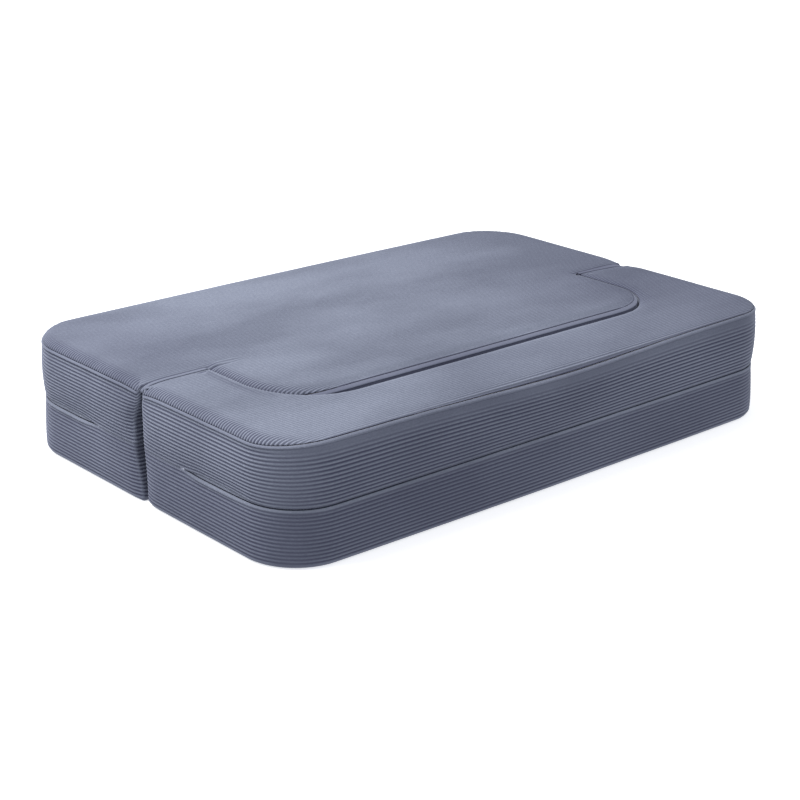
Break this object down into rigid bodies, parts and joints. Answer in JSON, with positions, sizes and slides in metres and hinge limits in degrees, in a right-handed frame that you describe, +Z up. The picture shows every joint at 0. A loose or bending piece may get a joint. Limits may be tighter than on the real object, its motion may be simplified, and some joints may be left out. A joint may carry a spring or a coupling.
{
  "type": "fold-over floor sofa bed",
  "caption": "Low two-cushion foam sofa bed: a U-shaped backrest cushion fits round a T-shaped seat cushion and folds over onto it.",
  "frame": {"origin": "on the floor, under the middle of the hinge line between the two cushions", "axes": "+X along the hinge line, -Y from the seat cushion towards the backrest cushion, +Z up"},
  "size_m": [1.43, 0.9662, 0.259],
  "materials": {
    "ribbed_velvet": "slate blue ribbed velvet, soft pile",
    "non_slip_fabric": "dark woven fabric with small grip dots",
    "liner_fabric": "thin white woven fabric",
    "comfort_foam": "soft open-cell foam",
    "support_foam": "firm open-cell foam",
    "zip_tape": "woven tape",
    "stitching": "dense bar of stitches",
    "zip_metal": "dull grey cast metal"
  },
  "bodies": {
    "seat_cushion": {"seat_top_panel": "ribbed_velvet", "seat_upper_band": "ribbed_velvet", "seat_lower_band": "ribbed_velvet", "seat_base_panel": "non_slip_fabric", "seat_liner": "liner_fabric", "seat_comfort_foam": "comfort_foam", "seat_support_foam": "support_foam", "seat_zip_placket": "ribbed_velvet", "seat_upper_zip_tape": "zip_tape", "seat_lower_zip_tape": "zip_tape", "seat_left_zip_tack": "stitching", "seat_right_zip_tack": "stitching", "left_hinge_strip": "ribbed_velvet", "right_hinge_strip": "ribbed_velvet"},
    "backrest_cushion": {"backrest_top_panel": "ribbed_velvet", "backrest_upper_band": "ribbed_velvet", "backrest_lower_band": "ribbed_velvet", "backrest_base_panel": "ribbed_velvet", "backrest_liner": "liner_fabric", "backrest_comfort_foam": "comfort_foam", "backrest_support_foam": "support_foam", "backrest_zip_placket": "ribbed_velvet", "backrest_upper_zip_tape": "zip_tape", "backrest_lower_zip_tape": "zip_tape", "backrest_left_zip_tack": "stitching", "backrest_right_zip_tack": "stitching"},
    "seat_slider": {"seat_zip_slider": "zip_metal"},
    "seat_pull": {"seat_zip_pull": "zip_metal"},
    "backrest_slider": {"backrest_zip_slider": "zip_metal"},
    "backrest_pull": {"backrest_zip_pull": "zip_metal"}
  },
  "joints": [
    {"name": "backrest_fold", "type": "hinge", "parent": "seat_cushion", "child": "backrest_cushion", "pos_m": [0, 0, 0.2598], "axis": [-1, 0, 0], "range_deg": [0, 180], "deforming": ["left_hinge_strip", "right_hinge_strip"]},
    {"name": "seat_zip_slide", "type": "slide", "parent": "seat_cushion", "child": "seat_slider", "axis": [0, 1, 0], "range_m": [0, 0.155], "deforming": ["seat_zip_placket"]},
    {"name": "seat_pull_swing", "type": "hinge", "parent": "seat_slider", "child": "seat_pull", "pos_m": [0.7097, 0.174, 0.1215], "axis": [0, 0, -1], "range_deg": [0, 150]},
    {"name": "backrest_zip_slide", "type": "slide", "parent": "backrest_cushion", "child": "backrest_slider", "axis": [0, -1, 0], "range_m": [0, 0.19], "deforming": ["backrest_zip_placket"]},
    {"name": "backrest_pull_swing", "type": "hinge", "parent": "backrest_slider", "child": "backrest_pull", "pos_m": [0.7097, -0.154, 0.1215], "axis": [0, 0, 1], "range_deg": [0, 150]}
  ]
}
